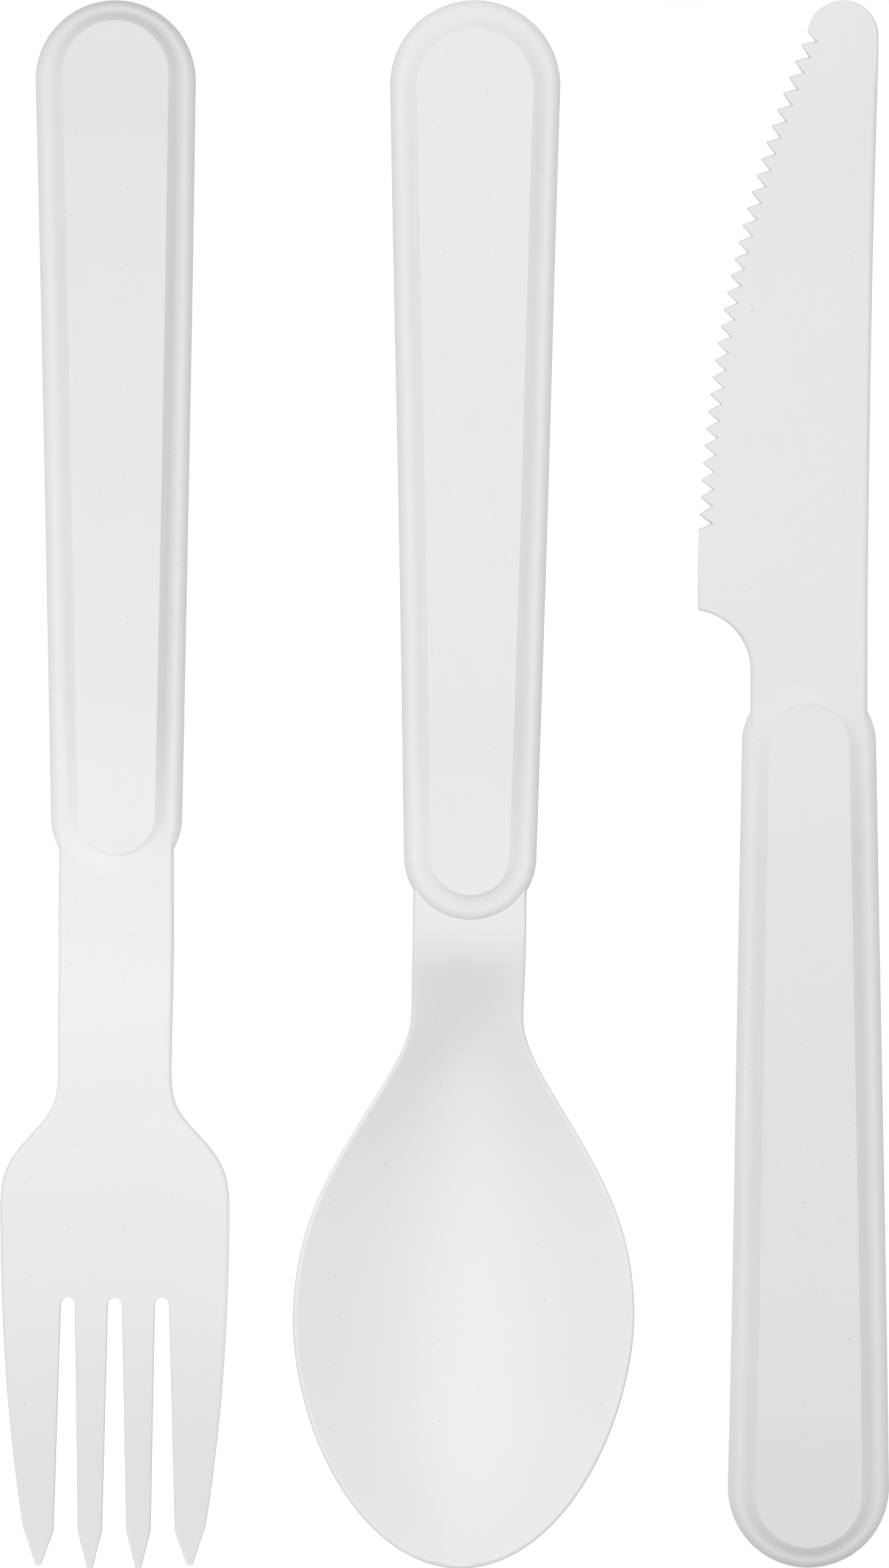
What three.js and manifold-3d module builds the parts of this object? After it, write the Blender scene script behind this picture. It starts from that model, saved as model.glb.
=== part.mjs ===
// Plastic cutlery pack: a fork, a spoon and a knife, each moulded in one piece of white plastic.
// Units are millimetres and +Z is up. The three lie side by side on the plane z = 0: the handles of
// the fork and the spoon end at +Y, and the knife's handle ends at -Y.
// Each piece is drawn along its own +Y, from the butt of its handle at y = 0 to its working end.

import * as THREE from "three";
import { ConvexGeometry } from "three/addons/geometries/ConvexGeometry.js";
import { mergeVertices } from "three/addons/utils/BufferGeometryUtils.js";
import Module from "manifold-3d";

const wasm = await Module();
wasm.setup();

// Driving dimensions shared by the three pieces.
const PIECE_LENGTH = 180;
const HANDLE_HEIGHT = 5.55; // raised panel above the rim that the handle lies on
const RELIEF = [1.1, 2.42, 3.1]; // insets of the shoulder, the foot of the panel's wall, the panel
const SHOULDER_SLOPE = 0.12; // fall of the shoulder for each unit towards the side
const EDGE_ROLL = 1.0; // height over which the shoulder rolls down to the side wall
const RIM_WIDTH = 1.1; // wall of the handle's hollow underside
const TOP_WALL = 2.3; // plastic between the panel and the hollow underneath
const DRAFT = 0.3; // how far the inner walls lean in
const RIM_BREAK = 0.2; // broken outer edge of the rim
const ARC_STEPS = 8; // steps in a quarter of a handle's round end
const SIDE_STEPS = 12; // steps along a handle's straight side
const NOSE_EASE = [-22, -4]; // the panel comes down over this stretch, from the end of the handle
const BUTT_EASE = [3, 20]; // and over this one, from the butt
const COVE_SHARE = 0.35; // height of the cove's middle, as a share of the cove's height
const CUT_LOW = -10; // prisms that cut a bent plate reach from here
const CUT_HIGH = 20; // to here

// In each piece, `lift` is how far it is raised off the floor along its length, and `sway` is how
// far it lies off its axis, both as [distance along, value].
const FORK = {
  buttRadius: 9.2,
  noseRadius: 7.52,
  handleLength: 101.3,
  footDrop: 0.65, // foot of the panel's wall below the panel
  shoulderDrop: 1.41, // shoulder below the panel
  buttRelief: [0.91, 1.79, 2.35], // the same three insets as in RELIEF, at the butt
  noseRelief: [0.5, 3.05, 3.35], // and at the nose
  buttEased: 0.35, // the panel's height above the shoulder is less by this share at the butt
  noseEased: 0.6, // and by this one at the nose
  neckDrop: 1.44, // neck surface below the panel
  plate: 2.2,
  tinePlate: 1.9,
  plateThins: [118, 150], // stretch over which the plate thins from neck to tines
  edge: 0.3, // broken edge of the plate
  halfWidths: [
    [6.57, 94], [6.57, 98], [6.62, 105], [6.61, 112], [6.53, 119], [6.53, 122.7], [6.61, 124.8],
    [6.88, 126.2], [7.48, 127.6], [8.53, 129], [9.79, 130.4], [11.01, 131.8], [11.97, 133.2],
    [12.74, 134.9], [13.08, 136.7], [13.17, 140.2], [13.05, 147.2], [12.74, 154.2], [12.22, 161.2],
    [11.46, 168.2], [10.47, 175.2], [9.52, 178.2], [8.92, 180],
  ],
  tineTips: [2.78, 8.62], // middle and outer tips, out from the centre line
  tineTipHalf: 0.24,
  tineTipLine: 179.6,
  slotTop: 149,
  slotTopHalf: 0.8,
  slotEnd: 175.6,
  slotEndHalf: 1.38,
  slotCentre: 5.42,
  slotSpread: 0.16, // an outer slot leans out by this much over its length
  lift: [
    [0, 0], [50, 2.7], [98, 5.2], [116, 4.7], [122, 3.2], [128, 1.1], [134, -0.8], [140, -1.7],
    [146, -1.8], [152, -1.2], [158, 0.05], [165, 2.1], [172, 4.6], [180, 7.6],
  ],
  sway: [[0, -0.04], [30, -0.2], [65, -0.26], [100, -0.25], [114, -0.17], [122, -0.04], [130, 0], [180, 0]],
};

const SPOON = {
  buttRadius: 9.78,
  noseRadius: 7.6,
  handleLength: 105.9,
  footDrop: 0.37,
  shoulderDrop: 0.87,
  buttRelief: [1.0, 2.7, 3.3],
  noseRelief: [1.3, 2.85, 3.15],
  buttEased: 0.2,
  noseEased: 0.4,
  neckDrop: 1.29,
  neckPlate: 2.2,
  bowlWall: 1.5,
  wallThins: [107, 130], // stretch over which the neck's plate thins to the bowl's wall
  halfWidths: [
    [6.52, 98], [6.51, 102], [6.51, 107], [6.5, 109.5], [6.48, 112.2], [6.45, 116.4], [6.55, 117.8],
    [6.9, 119.2], [8.12, 122], [9.69, 124.8], [11.39, 127.6], [13.1, 130.4], [14.69, 133.2],
    [16.46, 136.7], [17.85, 140.2], [18.81, 143.7], [19.37, 147.2], [19.6, 151.4],
  ],
  bowlHalfWidth: 19.6,
  bowlWidest: 151.4,
  tipAcross: 1.98, // exponents of the bowl's outline past its widest line, where 2 and 2 would
  tipAlong: 1.78, // be an ellipse
  tipSteps: 12,
  tipEnd: 0.9985, // the last ring is this share of the way to the tip
  bowlDepth: 5.6,
  bowlStart: 109,
  bowlDeepest: 149,
  bowlEntry: 1.4, // exponent of the slope from the neck into the bowl
  bowlExit: 2.3, // exponent of the slope from the deepest line up to the tip
  bowlTurn: 0.62, // share of half a wave that the bowl's section follows
  bowlSteps: 14,
  rimLip: 0.5,
  lift: [
    [0, 0], [50, 2.7], [98, 5.2], [104, 5.38], [108.3, 5.33], [110.3, 5.1], [112.5, 4.62], [116, 3.85],
    [121, 3.25], [126, 2.95], [136, 2.85], [151, 2.85], [180, 3.3],
  ],
  sway: [
    [0, 0], [30, -0.1], [60, -0.28], [100, -0.33], [110, -0.3], [118, -0.14], [140, -0.12], [150, -0.1],
    [158, -0.02], [170, 0.06], [180, 0.1],
  ],
};

const KNIFE = {
  buttRadius: 9.25,
  noseRadius: 7.7,
  handleLength: 102.3,
  footDrop: 0.57,
  shoulderDrop: 1.24,
  buttRelief: [0.91, 1.79, 2.35],
  noseRelief: [0.9, 3.1, 3.4],
  buttEased: 0.3,
  noseEased: 0.6,
  neckDrop: 1.26,
  spineThickness: 2.0,
  neckLeft: -6.75,
  spineLine: [
    [6.7, 104], [6.73, 112], [6.81, 120], [6.95, 130], [7.11, 140], [7.3, 150], [7.56, 160], [7.85, 170],
  ],
  toothCount: 29,
  toothDepth: 1.35,
  toothArcCentre: [151.77, 113.5],
  toothArcRadius: 164.55,
  toothFirstAngle: 177.4, // degrees about the arc's centre, next to the heel
  toothLastAngle: 158.1, // next to the tip
  heelX: -12.78,
  heelTop: 119,
  heelCorner: 1.2, // straight stretch of the heel above its corner
  heelHollow: 7.0,
  heelHollowY: 103,
  heelHollowEnd: 81, // degrees that the hollow turns through
  tipCentre: [3.86, 175.9],
  tipRadius: 4.1,
  tipEnd: 163, // degrees about the tip's centre where the saw edge starts
  grindDrop: 0.7, // the face falls this far from the thick spine to the edge
  grindRidge: [[6.8, 182], [3.5, 120], [-13.6, 107]], // line where the thick spine ends
  grindFar: -22, // the cutting body ends here, clear of the blade
  grindHeight: 3,
  lift: [[0, 0], [180, 0]],
  sway: [[0, -0.12], [12, -0.06], [25, 0], [180, 0]],
};

// Places on the shared floor, from the middle of the set to each piece's butt.
const PLACES = {
  fork: { x: -37.85, y: 90, turn: Math.PI },
  spoon: { x: 3.6, y: 90, turn: Math.PI - 0.01 },
  knife: { x: 41.87, y: -90, turn: 0 },
};

const neckTop = (spec) => HANDLE_HEIGHT - spec.neckDrop;

// Value at a distance along a piece: a smooth curve through [distance, value] stations.
function valueAlong(stations, y) {
  const last = stations.length - 1;
  let i = 0;
  while (i < last - 1 && y > stations[i + 1][0]) i += 1;
  const slopeAt = (k) => {
    const before = stations[Math.max(k - 1, 0)];
    const after = stations[Math.min(k + 1, last)];
    return (after[1] - before[1]) / (after[0] - before[0]);
  };
  const [y0, z0] = stations[i];
  const [y1, z1] = stations[i + 1];
  const span = y1 - y0;
  const t = (y - y0) / span;
  const rise = z1 - z0;
  const turn0 = slopeAt(i) * span - rise;
  const turn1 = rise - slopeAt(i + 1) * span;
  return z0 + t * rise + t * (1 - t) * (turn0 * (1 - t) + turn1 * t);
}

// A point moved sideways and up with its piece, which is not quite straight and not level.
function bent(spec, x, y, z) {
  return [x + valueAlong(spec.sway, y), y, z + valueAlong(spec.lift, y)];
}

// A closed body skinned over a row of rings, which all have the same even number of points. Each
// ring starts on one side of its middle line and passes the other side at half its points, so the
// first and last rings are closed by a ladder of faces across that line.
function skinRings(rings) {
  const count = rings[0].length;
  const half = count / 2;
  const positions = rings.flat(2);
  const faces = [];
  for (let r = 0; r < rings.length - 1; r += 1) {
    for (let i = 0; i < count; i += 1) {
      const a = r * count + i;
      const b = r * count + ((i + 1) % count);
      faces.push(a, a + count, b, b, a + count, b + count);
    }
  }
  const ladder = (start, flip) => {
    const face = (a, b, c) => faces.push(start + a, start + (flip ? c : b), start + (flip ? b : c));
    face(0, 1, count - 1);
    for (let i = 1; i < half - 1; i += 1) {
      face(i, i + 1, count - i);
      face(i + 1, count - i - 1, count - i);
    }
    face(half - 1, half, half + 1);
  };
  ladder(0, false);
  ladder((rings.length - 1) * count, true);
  const geometry = new THREE.BufferGeometry();
  geometry.setAttribute("position", new THREE.Float32BufferAttribute(positions, 3));
  geometry.setIndex(faces);
  return geometry;
}

function toSolid(geometry) {
  const bare = geometry.clone();
  bare.deleteAttribute("normal");
  bare.deleteAttribute("uv");
  const merged = mergeVertices(bare, 1e-5);
  const vertProperties = new Float32Array(merged.attributes.position.array);
  const triVerts = new Uint32Array(merged.index.array);
  return new wasm.Manifold(new wasm.Mesh({ numProp: 3, vertProperties, triVerts }));
}

function toGeometry(solid) {
  const { vertProperties, triVerts } = solid.getMesh();
  const geometry = new THREE.BufferGeometry();
  geometry.setAttribute("position", new THREE.Float32BufferAttribute(vertProperties, 3));
  geometry.setIndex(Array.from(triVerts));
  geometry.computeVertexNormals();
  return geometry;
}

// An upright prism from a flat shape, between two heights.
function prism(shape, bottom, top) {
  const geometry = new THREE.ExtrudeGeometry(shape, { depth: top - bottom, bevelEnabled: false });
  return toSolid(geometry.translate(0, 0, bottom));
}

// Height of a point of the relief: the panel comes down towards the shoulder near both ends.
function eased(spec, y, z) {
  const { smoothstep } = THREE.MathUtils;
  const level = HANDLE_HEIGHT - spec.shoulderDrop;
  const atNose = smoothstep(y - spec.handleLength, ...NOSE_EASE);
  const atButt = 1 - smoothstep(y, ...BUTT_EASE);
  const share = 1 - spec.noseEased * atNose - spec.buttEased * atButt;
  return z > level ? level + (z - level) * share : z;
}

// One level ring of a handle: two round ends joined by straight sides, drawn in by `side` at the
// sides, by `buttEnd` at the butt and by `noseEnd` at the nose.
function handleRing(spec, side, buttEnd, noseEnd, z) {
  const butt = spec.buttRadius - side;
  const nose = spec.noseRadius - side;
  const buttY = butt + buttEnd;
  const noseY = spec.handleLength - noseEnd - nose;
  const lean = Math.asin((butt - nose) / (noseY - buttY));
  const right = [];
  for (let i = 0; i <= ARC_STEPS; i += 1) {
    const angle = -Math.PI / 2 + (i / ARC_STEPS) * (Math.PI / 2 + lean);
    right.push([butt * Math.cos(angle), buttY + butt * Math.sin(angle)]);
  }
  const [x0, y0] = right[ARC_STEPS];
  const x1 = nose * Math.cos(lean);
  const y1 = noseY + nose * Math.sin(lean);
  for (let i = 1; i < SIDE_STEPS; i += 1) {
    const t = i / SIDE_STEPS;
    right.push([x0 + t * (x1 - x0), y0 + t * (y1 - y0)]);
  }
  for (let i = 0; i <= ARC_STEPS; i += 1) {
    const angle = lean + (i / ARC_STEPS) * (Math.PI / 2 - lean);
    right.push([nose * Math.cos(angle), noseY + nose * Math.sin(angle)]);
  }
  const left = right.slice(1, -1).reverse();
  const ring = [...right, ...left.map(([x, y]) => [-x, y])];
  return ring.map(([x, y]) => bent(spec, x, y, eased(spec, y, z)));
}

// The handle: a raised panel, a hollow cove and a rolled shoulder on top, and a hollow with an
// open underside inside a standing rim.
function handleSolid(spec) {
  const top = HANDLE_HEIGHT;
  const ceiling = top - TOP_WALL;
  const [shoulder, foot, panel] = RELIEF;
  const [buttShoulder, buttFoot, buttPanel] = spec.buttRelief;
  const [noseShoulder, noseFoot, nosePanel] = spec.noseRelief;
  const shoulderTop = top - spec.shoulderDrop;
  const footTop = top - spec.footDrop;
  const coveTop = shoulderTop + (footTop - shoulderTop) * COVE_SHARE;
  const middle = (a, b) => (a + b) / 2;
  const rings = [handleRing(spec, panel, buttPanel, nosePanel, top)];
  rings.push(handleRing(spec, foot, buttFoot, noseFoot, footTop));
  rings.push(handleRing(
    spec,
    middle(foot, shoulder),
    middle(buttFoot, buttShoulder),
    middle(noseFoot, noseShoulder),
    coveTop,
  ));
  for (const degrees of [0, 30, 60, 90]) {
    const roll = THREE.MathUtils.degToRad(degrees);
    const share = 1 - Math.sin(roll);
    const fall = EDGE_ROLL * (1 - Math.cos(roll)) + shoulder * (1 - share) * SHOULDER_SLOPE;
    rings.push(handleRing(
      spec,
      shoulder * share,
      buttShoulder * share,
      noseShoulder * share,
      shoulderTop - fall,
    ));
  }
  const level = (inset, z) => handleRing(spec, inset, inset, inset, z);
  rings.push(level(0, RIM_BREAK));
  rings.push(level(RIM_BREAK, 0));
  rings.push(level(RIM_WIDTH, 0));
  rings.push(level(RIM_WIDTH + DRAFT, ceiling - DRAFT));
  rings.push(level(RIM_WIDTH + 2 * DRAFT, ceiling));
  return toSolid(skinRings(rings));
}

// The gap between two tines: a round-topped slot that widens towards the points and opens out
// between them. `centre` is the slot's middle; the two tips stand either side of it.
function tineGap(centre, lean, leftTip, rightTip) {
  const { slotTop, slotTopHalf, slotEnd, slotEndHalf, tineTipLine, tineTipHalf: tipHalf } = FORK;
  const past = PIECE_LENGTH + 4;
  const shape = new THREE.Shape();
  shape.moveTo(centre - slotTopHalf, slotTop + slotTopHalf);
  shape.absarc(centre, slotTop + slotTopHalf, slotTopHalf, Math.PI, 2 * Math.PI);
  shape.lineTo(centre + lean + slotEndHalf, slotEnd);
  shape.lineTo(rightTip - tipHalf, tineTipLine);
  shape.lineTo(rightTip - tipHalf / 2, past);
  shape.lineTo(leftTip + tipHalf / 2, past);
  shape.lineTo(leftTip + tipHalf, tineTipLine);
  shape.lineTo(centre + lean - slotEndHalf, slotEnd);
  return prism(shape, CUT_LOW, CUT_HIGH);
}

function forkBody() {
  const { edge, plate, tinePlate, plateThins } = FORK;
  const rings = FORK.halfWidths.map(([half, y]) => {
    const top = neckTop(FORK);
    const thin = THREE.MathUtils.smoothstep(y, ...plateThins);
    const bottom = top - THREE.MathUtils.lerp(plate, tinePlate, thin);
    return [
      bent(FORK, half, y, top - edge),
      bent(FORK, half - edge, y, top),
      bent(FORK, edge - half, y, top),
      bent(FORK, -half, y, top - edge),
      bent(FORK, edge - half, y, bottom),
      bent(FORK, half - edge, y, bottom),
    ];
  });
  return toSolid(skinRings(rings));
}

function makeFork() {
  const [inner, outer] = FORK.tineTips;
  let fork = handleSolid(FORK).add(forkBody());
  fork = fork.subtract(tineGap(0, 0, -inner, inner));
  for (const side of [-1, 1]) {
    const tips = [side * inner, side * outer].sort((a, b) => a - b);
    fork = fork.subtract(tineGap(side * FORK.slotCentre, side * FORK.slotSpread, ...tips));
  }
  return fork;
}

// Half widths of the spoon past its handle, as [half width, distance along].
function spoonOutline() {
  const { bowlHalfWidth, bowlWidest, tipAcross, tipAlong, tipSteps, tipEnd } = SPOON;
  const points = [...SPOON.halfWidths];
  for (let i = 1; i <= tipSteps; i += 1) {
    const t = Math.min(Math.sin((i / tipSteps) * (Math.PI / 2)), tipEnd);
    const half = bowlHalfWidth * (1 - t ** tipAlong) ** (1 / tipAcross);
    points.push([half, bowlWidest + t * (PIECE_LENGTH - bowlWidest)]);
  }
  return points;
}

// Depth of the bowl's middle line below its rim.
function bowlDepthAt(y) {
  const { bowlDepth, bowlStart, bowlDeepest, bowlEntry, bowlExit } = SPOON;
  if (y <= bowlStart) return 0;
  if (y <= bowlDeepest) {
    const t = (y - bowlStart) / (bowlDeepest - bowlStart);
    return bowlDepth * Math.sin((t * Math.PI) / 2) ** bowlEntry;
  }
  const t = (y - bowlDeepest) / (PIECE_LENGTH - bowlDeepest);
  return bowlDepth * (1 - t ** bowlExit);
}

// Depth across the bowl as a share of its middle.
function bowlSection(u) {
  const turn = SPOON.bowlTurn * Math.PI;
  return (Math.cos(turn * Math.abs(u)) - Math.cos(turn)) / (1 - Math.cos(turn));
}

function spoonBody() {
  const { rimLip, neckPlate, bowlWall, wallThins, bowlSteps } = SPOON;
  const rim = neckTop(SPOON);
  const rings = spoonOutline().map(([half, y]) => {
    const depth = bowlDepthAt(y);
    const wall = THREE.MathUtils.lerp(neckPlate, bowlWall, THREE.MathUtils.smoothstep(y, ...wallThins));
    const lip = Math.min(rimLip, half / 3);
    const upper = [bent(SPOON, half, y, rim)];
    const lower = [bent(SPOON, -half, y, rim - wall)];
    for (let i = 0; i <= bowlSteps; i += 1) {
      const u = Math.cos((i / bowlSteps) * Math.PI);
      const hollow = depth * bowlSection(u);
      upper.push(bent(SPOON, u * (half - lip), y, rim - hollow));
      lower.push(bent(SPOON, -u * (half - lip / 2), y, rim - wall - hollow));
    }
    upper.push(bent(SPOON, -half, y, rim));
    lower.push(bent(SPOON, half, y, rim - wall));
    return [...upper, ...lower];
  });
  return toSolid(skinRings(rings));
}

function makeSpoon() {
  return handleSolid(SPOON).add(spoonBody());
}

// The saw edge from the heel to the tip: pointed teeth standing on one long arc, with a V notch
// before, between and after them.
function toothLine() {
  const { toothArcCentre, toothArcRadius, toothFirstAngle, toothLastAngle, toothCount } = KNIFE;
  const pitch = (toothFirstAngle - toothLastAngle) / (toothCount - 1);
  const at = (index, radius) => {
    const angle = THREE.MathUtils.degToRad(toothFirstAngle - index * pitch);
    const x = toothArcCentre[0] + radius * Math.cos(angle);
    return [x, toothArcCentre[1] + radius * Math.sin(angle)];
  };
  const points = [];
  for (let i = 0; i < toothCount; i += 1) {
    points.push(at(i - 0.5, toothArcRadius - KNIFE.toothDepth));
    points.push(at(i, toothArcRadius));
  }
  points.push(at(toothCount - 0.5, toothArcRadius - KNIFE.toothDepth));
  return points;
}

function bladeOutline() {
  const { neckLeft, spineLine, heelX, heelTop, heelCorner, heelHollow, heelHollowY } = KNIFE;
  const [tipX, tipY] = KNIFE.tipCentre;
  const inside = KNIFE.handleLength - KNIFE.noseRadius;
  const tipEnd = THREE.MathUtils.degToRad(KNIFE.tipEnd);
  const hollowEnd = THREE.MathUtils.degToRad(KNIFE.heelHollowEnd);
  const shape = new THREE.Shape();
  shape.moveTo(spineLine[0][0], inside);
  for (const [x, y] of spineLine) shape.lineTo(x, y);
  shape.absarc(tipX, tipY, KNIFE.tipRadius, 0, tipEnd, false);
  for (const [x, y] of toothLine().reverse()) shape.lineTo(x, y);
  shape.lineTo(heelX, heelTop);
  shape.lineTo(heelX, heelHollowY + heelHollow + heelCorner);
  shape.absarc(neckLeft - heelHollow, heelHollowY, heelHollow, hollowEnd, 0, true);
  shape.lineTo(neckLeft, inside);
  return shape;
}

// The wedge ground off one face: it starts at the ridge beside the spine and deepens to the edge.
function grindSolid(faceZ, direction) {
  const { grindRidge, grindDrop, grindFar: far, grindHeight, heelX } = KNIFE;
  const [tip, elbow, heel] = grindRidge;
  const slope = grindDrop / (elbow[0] - heelX);
  const dropAt = (x) => faceZ - direction * slope * (elbow[0] - x);
  const points = [
    [tip[0], tip[1], faceZ],
    [elbow[0], elbow[1], faceZ],
    [heel[0], heel[1], faceZ],
    [far, tip[1], dropAt(far)],
    [far, elbow[1], dropAt(far)],
    [far, heel[1] - 1, faceZ],
  ];
  const outside = points.map(([x, y]) => [x, y, faceZ + direction * grindHeight]);
  const corners = [...points, ...outside].map(([x, y, z]) => new THREE.Vector3(x, y, z));
  return toSolid(new ConvexGeometry(corners));
}

function makeKnife() {
  const top = neckTop(KNIFE);
  const underside = top - KNIFE.spineThickness;
  const blade = prism(bladeOutline(), underside, top);
  const ground = blade.subtract(grindSolid(top, 1)).subtract(grindSolid(underside, -1));
  return handleSolid(KNIFE).add(ground);
}

// White plastic with a soft gloss; a small difference of grey per piece.
function whitePlastic(grey) {
  const color = new THREE.Color().setRGB(grey, grey, grey, THREE.SRGBColorSpace);
  return new THREE.MeshStandardMaterial({ color, roughness: 0.42, metalness: 0 });
}

function placed(name, solid, grey) {
  const mesh = new THREE.Mesh(toGeometry(solid), whitePlastic(grey));
  const place = PLACES[name];
  mesh.name = name;
  mesh.position.set(place.x, place.y, 0);
  mesh.rotation.z = place.turn;
  return mesh;
}

const group = new THREE.Group();
group.add(placed("fork", makeFork(), 0.93));
group.add(placed("spoon", makeSpoon(), 0.93));
group.add(placed("knife", makeKnife(), 0.91));

export default group;
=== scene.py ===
"""White plastic cutlery: a fork, a spoon and a knife with channelled handles, laid side by side.

The script is laid out as an add-on, and is run as a script. Each piece is drawn in its own plan, with
the butt of its handle at y = 0 and its working end towards +Y, and is then moved to its place.
"""

import math

import bmesh
import bpy
import numpy as np
from bpy.props import FloatProperty, FloatVectorProperty, IntProperty, PointerProperty
from mathutils import Matrix, Vector


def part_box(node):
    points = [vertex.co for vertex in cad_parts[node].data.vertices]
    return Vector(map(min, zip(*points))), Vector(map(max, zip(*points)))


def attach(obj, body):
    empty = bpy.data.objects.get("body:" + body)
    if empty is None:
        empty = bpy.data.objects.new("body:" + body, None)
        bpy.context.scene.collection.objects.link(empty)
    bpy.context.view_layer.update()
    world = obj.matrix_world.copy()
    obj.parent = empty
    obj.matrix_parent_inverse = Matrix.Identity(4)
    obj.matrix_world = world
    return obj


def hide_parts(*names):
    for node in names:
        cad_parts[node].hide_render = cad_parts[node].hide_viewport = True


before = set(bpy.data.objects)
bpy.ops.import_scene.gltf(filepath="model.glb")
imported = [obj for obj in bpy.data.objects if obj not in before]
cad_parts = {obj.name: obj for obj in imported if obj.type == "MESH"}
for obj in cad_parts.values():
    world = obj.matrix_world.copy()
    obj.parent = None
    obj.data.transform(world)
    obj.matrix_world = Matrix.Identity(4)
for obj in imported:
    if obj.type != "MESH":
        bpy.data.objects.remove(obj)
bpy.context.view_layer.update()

bl_info = {
    "name": "Plastic cutlery",
    "version": (1, 0, 0),
    "blender": (4, 5, 0),
    "location": "View3D > Sidebar > Cutlery",
    "description": "Builds a moulded plastic fork, spoon and knife",
    "category": "Add Mesh",
}

MM = 0.001
PIECE_LENGTH = 180 * MM

# How far each piece is lifted off the table along its length, as (distance, height) in mm.
FORK_LIFT = [
    (0, 0), (50, 2.7), (98, 5.2), (116, 4.7), (122, 3.2), (128, 1.1), (134, -0.8), (140, -1.7),
    (146, -1.8), (152, -1.2), (158, 0.05), (165, 2.1), (172, 4.6), (180, 7.6),
]
SPOON_LIFT = [
    (0, 0), (50, 2.7), (98, 5.2), (104, 5.38), (108.3, 5.33), (110.3, 5.1), (112.5, 4.62), (116, 3.85),
    (121, 3.25), (126, 2.95), (136, 2.85), (151, 2.85), (180, 3.3),
]
KNIFE_LIFT = [(0, 0), (180, 0)]  # it lies flat

# How far each handle lies off its piece's axis along its length, as (distance, offset) in mm.
FORK_SWAY = [
    (0, -0.04), (30, -0.2), (65, -0.26), (100, -0.25), (114, -0.17), (122, -0.04), (130, 0), (180, 0),
]
SPOON_SWAY = [
    (0, 0), (30, -0.1), (60, -0.28), (100, -0.33), (110, -0.3), (118, -0.14), (140, -0.12),
    (150, -0.1), (158, -0.02), (170, 0.06), (180, 0.1),
]
KNIFE_SWAY = [(0, -0.12), (12, -0.06), (25, 0), (60, 0), (100, 0), (180, 0)]

# Half widths of the fork and the spoon past their handles, and how far the back of the knife lies
# off its axis, as (distance, width) in mm.
FORK_HALF = [
    (98, 6.57), (105, 6.62), (112, 6.61), (119, 6.54), (122.7, 6.53), (124.8, 6.61), (126.2, 6.88),
    (127.6, 7.48), (129, 8.53), (130.4, 9.79), (131.8, 11.01), (133.2, 11.97), (134.9, 12.74),
    (136.7, 13.08), (140.2, 13.17), (147.2, 13.05), (154.2, 12.74), (161.2, 12.22), (168.2, 11.46),
    (171.7, 11.0), (175.2, 10.47),
]
SPOON_HALF = [
    (98, 6.52), (107, 6.51), (112.2, 6.48), (116.4, 6.45), (117.8, 6.55), (119.2, 6.9), (122, 8.12),
    (124.8, 9.69), (127.6, 11.39), (130.4, 13.1), (133.2, 14.69), (136.7, 16.46), (140.2, 17.85),
    (143.7, 18.81), (147.2, 19.37), (151.4, 19.6), (155.2, 19.4),
]
SPINE_LINE = [
    (95, 6.7), (104, 6.7), (112, 6.73), (120, 6.81), (130, 6.95), (140, 7.11), (150, 7.3), (160, 7.56),
    (170, 7.85), (174, 7.96), (176, 8.0),
]

# The ridge where the ground face of the blade starts, as (distance, offset from the axis) in mm.
RIDGE_LINE = [
    (109.9, -16), (110.6, -11.5), (111.4, -6.5), (112.1, -3), (112.7, -0.4), (113.4, 0.6), (114.2, 1.35),
    (115.2, 2.1), (116.4, 2.72), (118.1, 3.22), (120.3, 3.52), (124.5, 3.86), (134.5, 4.58),
    (152.4, 5.45), (165, 6.2), (175.5, 6.83), (184, 7.3),
]

# Stretches along the pieces over which something changes smoothly, in mm from the butt. The panel's
# second one is from the end of the handle.
BUTT_EASE = (3, 20)  # the panel rises to its full height from the butt
NOSE_EASE = (-22, -4)  # and comes down again towards the neck
FORK_THINS = (118, 150)  # the fork's plate thins from neck to tines
FORK_SHARPENS = (152, 168)  # its outer edges lose their larger radius
SPOON_THINS = (107, 130)  # the spoon's neck thins to the wall of the bowl
KNIFE_ROUNDS = (96.9, 98)  # the edges of the knife's neck gain their larger radius
SPINE_SHARPENS = (170, 173)  # the spine loses it again
HOLLOW_SHARPENS = (106.4, 109.4)  # and so does the hollow below the heel
STEP_NARROWS = (112, 116)  # the step to the blade's ground face gets narrower
GROOVE_GROWS = (130, 146)  # the groove beside the step gets deeper
BLADE_TAPERS = (110.5, 126)  # the blade begins to thin towards its teeth

# Corners of the points of a fork's outer and inner tine, as (across, along) in mm.
OUTER_POINT = [(8.98, 179.52), (8.36, 179.46)]
INNER_POINT = [(3.07, 179.94), (2.49, 179.94)]
SLOT_END = 175.6 * MM  # where the slots between the tines meet the points
SLOT_SPREAD = 0.16 * MM  # how far an outer slot leans out over its length
POINT_TURN = 2 * MM  # radius where the side of a slot turns in to a point

HEEL_CORNER = 0.35 * MM  # radius of the blade's corner at its heel
PROUD = 0.6 * MM  # how far the blade stands out past its teeth before they are cut
STEP_WIDTH = (0.2, 0.9)  # the step to the ground face where it is narrow and wide, in mm
GROOVE_WIDTH = 0.4 * MM  # the groove beside the step
COMB_STEPS = 8  # columns of the comb's mesh for each tooth
COMB_ROWS = 7  # rows round the comb's section, the last one on the first
FLANK_BEND = 0.6  # how much finer the steps are towards the point of a tooth

# Where the plates are cut into strips that can bend or thin, in mm.
FORK_CUTS = np.arange(100.5, 180, 1.1)
KNIFE_CUTS = np.arange(97, 180, 2.0)
KNIFE_CUTS_ALONG = np.arange(-12, 8, 2.0)

BOWL_TURN = 0.62  # share of half a wave that the bowl's section follows
RIM_STEPS = (0, 0.01, 0.04, 0.09, 0.16, 0.25, 0.36)  # points in from the spoon's edge, in mm

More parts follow.
